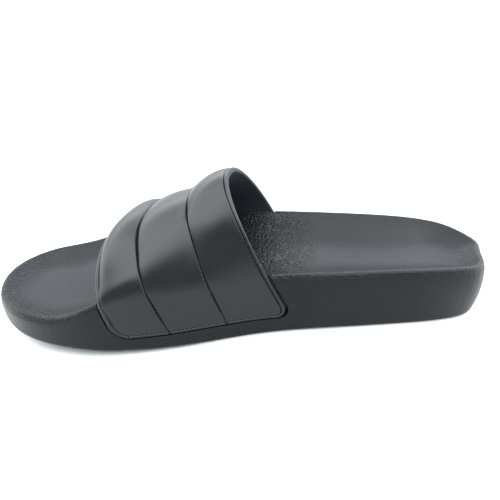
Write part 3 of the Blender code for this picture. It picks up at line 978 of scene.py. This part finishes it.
@dataclass
class MouldedSole:
    """The one-piece foam sole with its cup, its two pockets for the band and its tread."""

    form: SoleForm
    band: BandForm
    finish: MouldedFoam
    around: int = 360
    groove_width: float = 2.4 * MM
    groove_depth: float = 1.5 * MM
    groove_pitch: float = 9.0 * MM
    groove_margin: float = 9.0 * MM
    pocket_steps: int = 7
    pocket_columns: int = 46
    pocket_arch: tuple[int, int] = (28, 8)
    sharpest: float = 38
    # How deep the pebble is: everywhere, on what faces up, on the rim's brow, behind the band
    # and at the toe, and how much of it the flat footbed loses.
    wall_grain: float = 0.08
    upward_grain: float = 0.10
    brow_grain: float = 0.10
    behind_grain: float = 0.55
    toe_grain: float = 0.2
    floor_loss: float = 0.8
    flat_normals: tuple[float, float] = (0.90, 0.99)
    upward_normals: tuple[float, float] = (0.6, 0.88)
    brow_normals: tuple[float, float] = (0.45, 0.18)
    floor_reach: tuple[float, float] = (1.0 * MM, 5.0 * MM)
    behind_start: tuple[float, float] = (-70 * MM, -40 * MM)
    behind_end: tuple[float, float] = (0.0, 30 * MM)
    behind_setback: float = 10 * MM
    toe_end: tuple[float, float] = (0.10, 0.26)

    def pocket_cutter(self, side: Side) -> bpy.types.Object:
        """What the sole's side gives up so that the band's plate lies in it.

        Args:
            side: which side of the shoe.

        Returns:
            The cutter.
        """
        band = self.band
        rows = [Row(Zone.PLATE, side, -band.pocket_below * share) for share in (1.0, 0.75, 0.4)]
        rows += band.plate_rows(side, self.pocket_steps)
        angles = np.radians(np.linspace(0, *self.pocket_arch))
        rows += [Row(Zone.ARCH, side, angle) for angle in angles]
        places = np.linspace(0, band.last, self.pocket_columns)
        face = band.surface(places, rows, band.pocket_front, band.pocket_rear, band.pocket_below)
        normals = outward_normals(face) * (-side.value)
        outer = face + normals * 2 * band.thickness
        inner = face - normals * (band.thickness + band.seat_gap)
        cutter = grid_shell(f"pocket_{side.name.lower()}", outer, inner)
        face_out(cutter)
        return cutter

    def groove_cutters(self) -> list[bpy.types.Object]:
        """Bars across the underside, under the ball of the foot and under the heel."""
        made = []
        form = self.form
        arch = (form.station(form.arch_start), form.station(form.arch_end))
        reach = form.length / 2 - self.groove_margin - self.groove_pitch
        steps = int(reach // self.groove_pitch)
        for step in range(-steps, steps + 1):
            x = step * self.groove_pitch
            if arch[0] < x < arch[1]:
                continue
            ends = []
            for side in Side:
                rim = abs(float(form.rim_across(form.side_angle(np.float64(x), side))))
                ends.append(side.value * (rim - self.groove_margin))
            if ends[1] - ends[0] < 2 * self.groove_pitch:
                continue
            top = float(form.lift(np.float64(x))) + self.groove_depth
            deselect()
            middle = (x, sum(ends) / 2, top / 2 - self.groove_depth / 2)
            bpy.ops.mesh.primitive_cube_add(size=1, location=middle)
            bar = bpy.context.object
            bar.scale = (self.groove_width, ends[1] - ends[0], top + self.groove_depth)
            bpy.ops.object.transform_apply(location=True, rotation=True, scale=True)
            made.append(bar)
        return made

    def build(self) -> bpy.types.Object:
        """Builds and dresses the sole.

        Returns:
            The piece.
        """
        sole = ring_loft("moulded_sole", self.form.rings(self.around))
        for side in Side:
            cut(sole, self.pocket_cutter(side))
        bars = self.groove_cutters()
        only(bars[0])
        for bar in bars:
            bar.select_set(True)
        bpy.ops.object.join()
        cut(sole, bars[0])
        shift_mesh(sole, self.form.middle_shift)
        sole.data.materials.clear()
        sole.data.materials.append(self.finish.material())
        self.mark_grain(sole)
        smooth(sole, self.sharpest)
        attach(sole, "root")
        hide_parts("sole")
        report(sole)
        return sole

    def mark_grain(self, sole: bpy.types.Object) -> None:
        """Writes how deep the pebble is at each point of the sole.

        Args:
            sole: the piece.
        """
        count = len(sole.data.vertices)
        places, normals = np.empty(3 * count), np.empty(3 * count)
        sole.data.vertices.foreach_get("co", places)
        sole.data.vertex_normals.foreach_get("vector", normals)
        places, up = places.reshape(-1, 3), normals.reshape(-1, 3)[:, 2]
        form, edge = self.form, self.band.lines[-1]
        x = places[:, 0] - form.middle_shift[0]
        floor = smooth_step(up, *self.flat_normals)
        low = 1 - smooth_step(np.abs(places[:, 2] - form.footbed(x)), *self.floor_reach)
        rear = form.station(edge.foot) + edge.slant * places[:, 1] - self.behind_setback
        upward = smooth_step(up, *self.upward_normals)
        behind = smooth_step(x - rear, *self.behind_start)
        behind = behind * (1 - smooth_step(x - rear, *self.behind_end)) * upward
        toe = (1 - smooth_step(x, *map(form.station, self.toe_end))) * upward
        brow = self.brow_grain * np.exp(-(((up - self.brow_normals[0]) / self.brow_normals[1]) ** 2))
        slope = self.wall_grain + self.upward_grain * upward + brow
        marked = slope + self.behind_grain * behind + self.toe_grain * toe
        grain = marked * (1 - self.floor_loss * floor * low * (1 - behind))
        layer = sole.data.attributes.new("grain", "FLOAT", "POINT")
        layer.data.foreach_set("value", grain.astype(np.float32))


@dataclass
class PaddedBand:
    """The band over the instep, with its padded channels, folded edges, lining and stitching."""

    form: BandForm
    leather: CoatedLeather
    lining: KnitLining
    thread: SewingThread
    arch_steps: int = 66
    plate_steps: int = 16
    puff_columns: tuple[int, ...] = (40, 30, 52)
    stitch_pitch: float = 2.0 * MM
    stitch_length: float = 1.4 * MM
    stitch_width: float = 0.95 * MM
    stitch_seat: float = 0.15 * MM
    foot_seat: float = 0.64 * MM
    stitch_sides: tuple[int, int] = (8, 5)
    stitch_reach: float = 0.3
    near_column: float = 0.005
    # How far from the edge the hem's columns lie, in millimetres.
    hem_columns: tuple[float, ...] = (0, 0.06, 0.16, 0.32, 0.55, 0.8, 1, 1.4, 1.8, 2.1, 2.35, 2.55)

    def columns(self) -> tuple[np.ndarray, np.ndarray, np.ndarray]:
        """Columns across the band.

        Returns:
            For each its place, its padding share and its distance from the nearest seam.
        """
        form = self.form
        made: list[tuple[float, float, float]] = []
        hem = MM * np.array(self.hem_columns)
        first, last = form.panel_width(0), form.panel_width(form.last - 1)
        made += [(distance / first, 0.0, 1.0) for distance in hem]
        bounds = [form.hem / first, *range(1, form.last), form.last - form.hem / last]
        for panel, (start, end) in enumerate(zip(bounds, bounds[1:])):
            width = form.panel_width(panel)
            for turn in np.linspace(0, math.pi, self.puff_columns[panel] + 1)[:-1]:
                share = (1 - math.cos(turn)) / 2
                padding = form.puff_shares[panel] * (4 * share * (1 - share)) ** form.puff_fullness
                column = start + share * (end - start)
                seam = min(abs(column - seam) for seam in range(1, form.last)) * width
                made.append((column, padding, seam))
        made.append((bounds[-1], 0.0, 1.0))
        made += [(form.last - distance / last, 0.0, 1.0) for distance in hem[::-1]]
        places, padding, seams = np.array(made).T
        return places, padding, seams

    def rows(self) -> list[Row]:
        """Rows over the band, from the inner side's foot to the outer side's."""
        angles = np.linspace(0, math.pi / 2, self.arch_steps + 1)
        inner = self.form.plate_rows(Side.INNER, self.plate_steps)
        outer = self.form.plate_rows(Side.OUTER, self.plate_steps)[::-1]
        up = [Row(Zone.ARCH, Side.INNER, angle) for angle in angles[:-1]]
        down = [Row(Zone.ARCH, Side.OUTER, angle) for angle in angles[::-1]]
        return inner + up + down + outer

    def faces(self) -> tuple[np.ndarray, np.ndarray]:
        """The band's two faces.

        Returns:
            The outer and the inner face's points, by row and column.
        """
        form = self.form
        places, padding, from_seam = self.columns()
        rows = self.rows()
        surface = form.surface(places, rows)
        normals = outward_normals(surface)
        seams = form.seam_depth * np.exp(-((from_seam / form.seam_width) ** 2))
        ends = form.along(places, "padding_end")
        shoulders = self.shoulders(surface, rows, places)
        outer, inner = [], []
        for row, points, normal, shoulder in zip(rows, surface, normals, shoulders):
            edge, stitch = form.hem_distances(places, row)
            near = form.lip - np.clip(edge, 0, form.lip)
            lip = form.lip - np.sqrt(form.lip**2 - near**2)
            hem = form.hem_rise * smooth_step(-stitch, 0, form.hem_run)
            angle = math.degrees(row.place) if row.zone is Zone.ARCH else 0.0
            groove = np.maximum(seams, form.hem_depth * np.exp(-((stitch / form.seam_width) ** 2)))
            share = np.clip((angle - ends + form.padding_start) / form.padding_run, 0, 1)
            puffed = form.padding_left + (1 - form.padding_left) * share * share * (3 - 2 * share)
            if row.zone is Zone.PLATE:
                puffed = puffed * smooth_step(row.place, form.lip, form.corner)
            rise = form.puff_rise * padding * puffed + shoulder + hem - lip - groove
            outer.append(points + normal * rise[:, None])
            inner.append(points - normal * (form.thickness - lip)[:, None])
        return np.array(outer), np.array(inner)

    def shoulders(self, surface: np.ndarray, rows: Sequence[Row], places: np.ndarray) -> np.ndarray:
        """How far each point swells where the padding ends over the side plate.

        Args:
            surface: the bare outer face's points, by row and column.
            rows: the lines over the band.
            places: the columns' places.

        Returns:
            The swelling, by row and column.
        """
        form = self.form
        steps = np.linalg.norm(np.diff(surface, axis=0), axis=2)
        run = np.concatenate([np.zeros((1, len(places))), np.cumsum(steps, axis=0)])
        swelling = np.zeros_like(run)
        for side in Side:
            arch = [k for k, row in enumerate(rows) if row.zone is Zone.ARCH and row.side is side]
            arch = arch if side is Side.INNER else arch[::-1]
            turns = [math.degrees(rows[k].place) for k in arch]
            for column, place in enumerate(places):
                middle = np.interp(form.folded(place, "angle"), turns, run[arch, column])
                below = (run[:, column] < middle) == (side is Side.INNER)
                reach = form.folded(place, "reach") * np.where(below, form.fold_trail, 1.0)
                away = (run[:, column] - middle) / reach
                swelling[:, column] += form.folded(place, "rise") * np.exp(-(away**2))
        front = places * form.panel_width(0)
        rear = (form.last - places) * form.panel_width(form.last - 1)
        return swelling * smooth_step(np.minimum(front, rear), 0, form.fold_start)

    def build(self) -> list[bpy.types.Object]:
        """Builds and dresses the band and its stitching.

        Returns:
            The pieces.
        """
        outer, inner = self.faces()
        band = grid_shell("padded_band", outer, inner)
        band.data.materials.clear()
        band.data.materials.append(self.leather.material())
        band.data.materials.append(self.lining.material())
        bpy.ops.object.mode_set(mode="EDIT")
        bpy.ops.mesh.select_more()
        bpy.context.object.active_material_index = 1
        bpy.ops.object.material_slot_assign()
        bpy.ops.object.mode_set(mode="OBJECT")
        face_out(band)
        shift_mesh(band, self.form.sole.middle_shift)
        smooth(band, 60)
        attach(band, "root")
        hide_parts("upper")
        report(band)
        return [band, *self.stitching()]

    def stitching(self) -> list[bpy.types.Object]:
        """The rows of stitches along the band's edges and seams.

        Returns:
            One piece for each row.
        """
        form = self.form
        hems = (form.hem / form.panel_width(0), form.hem / form.panel_width(form.last - 1))
        columns = (hems[0], 1.0, 2.0, form.last - hems[1])
        names = ("front_edge", "front_seam", "rear_seam", "rear_edge")
        finish = self.thread.material()
        made = []
        for name, column in zip(names, columns):
            over = [row for row in self.rows() if row.zone is not Zone.PLATE or row.place >= form.corner]
            line = [(column, row) for row in over]
            made.append(self.stitch_row(f"{name}_stitches", line, finish, self.stitch_seat))
        for side in Side:
            name = f"{side.name.lower()}_foot_stitches"
            made.append(self.stitch_row(name, form.foot_line(side), finish, self.foot_seat))
        return made

    def seated(self, line: Sequence[tuple[float, Row]]) -> tuple[np.ndarray, np.ndarray]:
        """Places on the leather without its padding.

        Args:
            line: columns and rows.

        Returns:
            The points and the leather's normals there.
        """
        points, normals = [], []
        for column, row in line:
            step = 1e-3 if row.zone is Zone.ARCH else 0.1 * MM if row.zone is Zone.PLATE else 0.01
            near = [Row(row.zone, row.side, row.place + away * step) for away in (-1, 0, 1)]
            near = near if row.side is Side.INNER else near[::-1]
            patch = self.form.surface(column + self.near_column * np.arange(-1, 2), near)
            points.append(patch[1, 1])
            normals.append(outward_normals(patch)[1, 1])
        return np.array(points), np.array(normals)

    def stitch_row(
        self, name: str, line: Sequence[tuple[float, Row]], finish: bpy.types.Material, seat: float
    ) -> bpy.types.Object:
        """One row of stitches.

        Args:
            name: the piece's name.
            line: columns and rows that the stitches run through.
            finish: the thread's material.
            seat: how deep the stitches' middles lie under the bare leather.

        Returns:
            The piece.
        """
        path, up = self.seated(line)
        steps = np.linalg.norm(np.diff(path, axis=0), axis=1)
        run = np.concatenate([[0], np.cumsum(steps)])
        count = int(run[-1] // self.stitch_pitch)
        deselect()
        sides, rings = self.stitch_sides
        bpy.ops.mesh.primitive_uv_sphere_add(segments=sides, ring_count=rings, radius=0.5)
        pattern = bpy.context.object
        pattern.data.transform(Matrix.Rotation(math.pi / 2, 4, "Y"))
        size = (self.stitch_length, self.stitch_width, self.stitch_width, 1)
        pattern.data.transform(Matrix.Diagonal(size))
        copies = []
        for number in range(count):
            at = (number + 0.5) * run[-1] / count
            reach = self.stitch_reach * self.stitch_pitch
            reads = ((at, path), (at + reach, path), (at - reach, path), (at, up))
            place, ahead, behind, normal = (
                Vector([float(np.interp(spot, run, line[:, k])) for k in range(3)])
                for spot, line in reads
            )
            along = (ahead - behind).normalized()
            across = normal.cross(along).normalized()
            normal = along.cross(across)
            turn = Matrix((along, across, normal)).transposed().to_4x4()
            copy = bpy.data.objects.new(name, pattern.data.copy())
            bpy.context.collection.objects.link(copy)
            copy.data.transform(Matrix.Translation(place - normal * seat) @ turn)
            copies.append(copy)
        bpy.data.objects.remove(pattern, do_unlink=True)
        only(copies[0])
        for copy in copies:
            copy.select_set(True)
        bpy.ops.object.join()
        row = bpy.context.object
        row.name = row.data.name = name
        row.data.materials.clear()
        row.data.materials.append(finish)
        shift_mesh(row, self.form.sole.middle_shift)
        smooth(row, 80)
        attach(row, "root")
        report(row)
        return row


@dataclass(frozen=True)
class StudioPaper(Finish):
    """Pale grey background paper, a matt uncoated sheet.

    Next to the shoe it takes a tone of its own, set to light and tint the shoe's contact shadow: painted
    light.
    Off the shoe's two ends it is much lighter, a painted pool of light that the toe and heel mirror.
    Farther off, its fibres give a faint mottle.
    """

    name: ClassVar[str] = "white_studio_paper"
    colour: str = "#b4b4b4"
    mottle: str = "#b9b9b9"
    # Painted light: the tone next to the shoe lights and tints its contact shadow, and the much lighter
    # tone off the ends is a painted pool of light for the toe and heel to mirror.
    near: str = "#b8b9b7"
    ends: str = "#e6e5e2"
    painted_end_light_from: tuple[float, float] = (88 * MM, 150 * MM)
    reach: tuple[float, float] = (230 * MM, 62 * MM)
    painted_light_fades: tuple[float, float] = (0.85, 1.7)
    fibres_per_metre: float = 400.0
    roughness: float = 0.9
    mirror_level: float = 0.1

    def inputs(self, tree: bpy.types.NodeTree, place: bpy.types.NodeSocket) -> dict:
        """Three tones by place: painted light next to the shoe and off its ends, and the plain mottled
        paper far away.
        """
        factors = {0: place, 1: (1 / self.reach[0], 1 / self.reach[1], 0)}
        away = add_node(tree, "ShaderNodeVectorMath", factors, "Vector", operation="MULTIPLY")
        distance = add_node(tree, "ShaderNodeVectorMath", {0: away}, "Value", operation="LENGTH")
        along = add_node(tree, "ShaderNodeSeparateXYZ", {"Vector": place}, "X")
        aside = add_node(tree, "ShaderNodeMath", {0: along}, "Value", operation="ABSOLUTE")
        shares = []
        for value, (start, end) in ((distance, self.painted_light_fades), (aside, self.painted_end_light_from)):
            span = {"Value": value, "From Min": start, "From Max": end}
            kind = {"interpolation_type": "SMOOTHSTEP"}
            shares.append(add_node(tree, "ShaderNodeMapRange", span, "Result", **kind))
        noise = {"Vector": place, "Scale": self.fibres_per_metre}
        fibre = add_node(tree, "ShaderNodeTexNoise", noise, "Fac")
        shades = {"Factor": fibre, "A": linear(self.colour), "B": linear(self.mottle)}
        mottled = add_node(tree, "ShaderNodeMix", shades, "Result", data_type="RGBA")
        # Painted light next to the shoe and off its ends, fading to the plain paper farther away.
        shades = {"Factor": shares[1], "A": linear(self.near), "B": linear(self.ends)}
        painted_light = add_node(tree, "ShaderNodeMix", shades, "Result", data_type="RGBA")
        shades = {"Factor": shares[0], "A": painted_light, "B": mottled}
        return {
            "Base Color": add_node(tree, "ShaderNodeMix", shades, "Result", data_type="RGBA"),
            "Roughness": self.roughness,
            "Specular IOR Level": self.mirror_level,
        }


@dataclass(frozen=True)
class LightRamp:
    """A smooth change of the tent's light with one part of a direction.

    The levels before and after it are numbers or the names of earlier ramps.
    """

    name: str
    follows: str
    start: float
    end: float
    before: float | str
    after: float | str


@dataclass
class Studio:
    """The paper floor, the soft light of a white tent with a dark front, and the camera."""

    azimuth: float = 5.00
    elevation: float = 27.13
    roll: float = -0.36
    place: tuple[float, float, float] = (-19.04 * MM, -186.5 * MM, 123.7 * MM)
    focal_pixels: float = 364.0
    picture_pixels: float = 500.0
    sensor_width: float = 36.0
    clip_start: float = 0.01
    floor_size: float = 9.0
    floor_steps: int = 24
    floor_flat: float = 3.2
    floor_curl: float = 0.05
    light_colour: tuple[float, ...] = (0.93, 0.985, 1.03, 1)
    backdrop_colour: tuple[float, ...] = (1, 1, 1, 1)
    backdrop_level: float = 1.3
    ramps: tuple[LightRamp, ...] = (
        LightRamp("back", "Z", 0.15, 0.38, 1.0, 4.2),
        LightRamp("front", "Y", -0.35, 0.35, 0.05, "back"),
        LightRamp("low", "aside", 0.75, 0.95, "front", 5.0),
        LightRamp("high", "Y", 0.05, 0.6, 6.0, 2.8),
        LightRamp("level", "Z", 0.42, 0.66, "low", "high"),
    )

    def floor(self) -> bpy.types.Object:
        """The paper floor, turned up gently at its rim."""
        deselect()
        steps = self.floor_steps
        bpy.ops.mesh.primitive_grid_add(x_subdivisions=steps, y_subdivisions=steps, size=self.floor_size)
        paper = bpy.context.object
        paper.name = paper.data.name = "paper_floor"
        for vertex in paper.data.vertices:
            away = max(0.0, math.hypot(vertex.co.x, vertex.co.y) - self.floor_flat)
            vertex.co.z = self.floor_curl * away**2
        paper.data.materials.append(StudioPaper().material())
        smooth(paper, 60)
        return paper

    def light(self) -> None:
        """The world's light: bright overhead, dimmer behind, dark in front near the horizon."""
        world = bpy.data.worlds.new("white_tent")
        bpy.context.scene.world = world
        world.use_nodes = True
        tree = world.node_tree
        tree.nodes.clear()
        way = add_node(tree, "ShaderNodeTexCoord", None, "Generated")
        parts = add_node(tree, "ShaderNodeSeparateXYZ", {"Vector": way}).outputs
        aside = add_node(tree, "ShaderNodeMath", {0: parts["X"]}, "Value", operation="ABSOLUTE")
        found: dict[str, bpy.types.NodeSocket] = {"Y": parts["Y"], "Z": parts["Z"], "aside": aside}
        for ramp in self.ramps:
            span = {"Value": found[ramp.follows], "From Min": ramp.start, "From Max": ramp.end}
            span |= {"To Min": found.get(ramp.before, ramp.before)}
            span |= {"To Max": found.get(ramp.after, ramp.after)}
            kind = {"interpolation_type": "SMOOTHSTEP"}
            found[ramp.name] = add_node(tree, "ShaderNodeMapRange", span, "Result", **kind)
        glow = {"Color": self.light_colour, "Strength": found["level"]}
        plain = {"Color": self.backdrop_colour, "Strength": self.backdrop_level}
        choice = {
            0: add_node(tree, "ShaderNodeLightPath", None, "Is Camera Ray"),
            1: add_node(tree, "ShaderNodeBackground", glow, "Background"),
            2: add_node(tree, "ShaderNodeBackground", plain, "Background"),
        }
        mixed = add_node(tree, "ShaderNodeMixShader", choice, "Shader")
        add_node(tree, "ShaderNodeOutputWorld", {"Surface": mixed})

    def camera(self) -> bpy.types.Object:
        """The camera, at the photograph's viewing angle."""
        around, up_by, roll = map(math.radians, (self.azimuth, self.elevation, self.roll))
        right = Vector((math.cos(around), -math.sin(around), 0))
        level = Vector((math.sin(around), math.cos(around), 0))
        ahead = level * math.cos(up_by) - Vector((0, 0, math.sin(up_by)))
        up = level * math.sin(up_by) + Vector((0, 0, math.cos(up_by)))
        turned_right = math.cos(roll) * right - math.sin(roll) * up
        turned_up = math.sin(roll) * right + math.cos(roll) * up
        data = bpy.data.cameras.new("photo_camera")
        data.sensor_width = self.sensor_width
        data.lens = self.focal_pixels / self.picture_pixels * data.sensor_width
        data.clip_start = self.clip_start
        camera = bpy.data.objects.new("photo_camera", data)
        bpy.context.collection.objects.link(camera)
        turn = Matrix((turned_right, turned_up, -ahead)).transposed().to_4x4()
        camera.matrix_world = Matrix.Translation(self.place) @ turn
        bpy.context.scene.camera = camera
        bpy.context.scene.view_settings.view_transform = "Standard"
        return camera

    def build(self) -> None:
        """Sets up the whole studio."""
        self.floor()
        self.light()
        self.camera()


def main() -> None:
    """Builds the sandal and the studio."""
    logging.basicConfig(level=logging.INFO, format="%(message)s", stream=sys.stdout)
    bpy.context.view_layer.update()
    sole = SoleForm()
    band = BandForm(sole)
    MouldedSole(sole, band, MouldedFoam()).build()
    PaddedBand(band, CoatedLeather(), KnitLining(), SewingThread()).build()
    Studio().build()


if __name__ == "__main__":
    main()
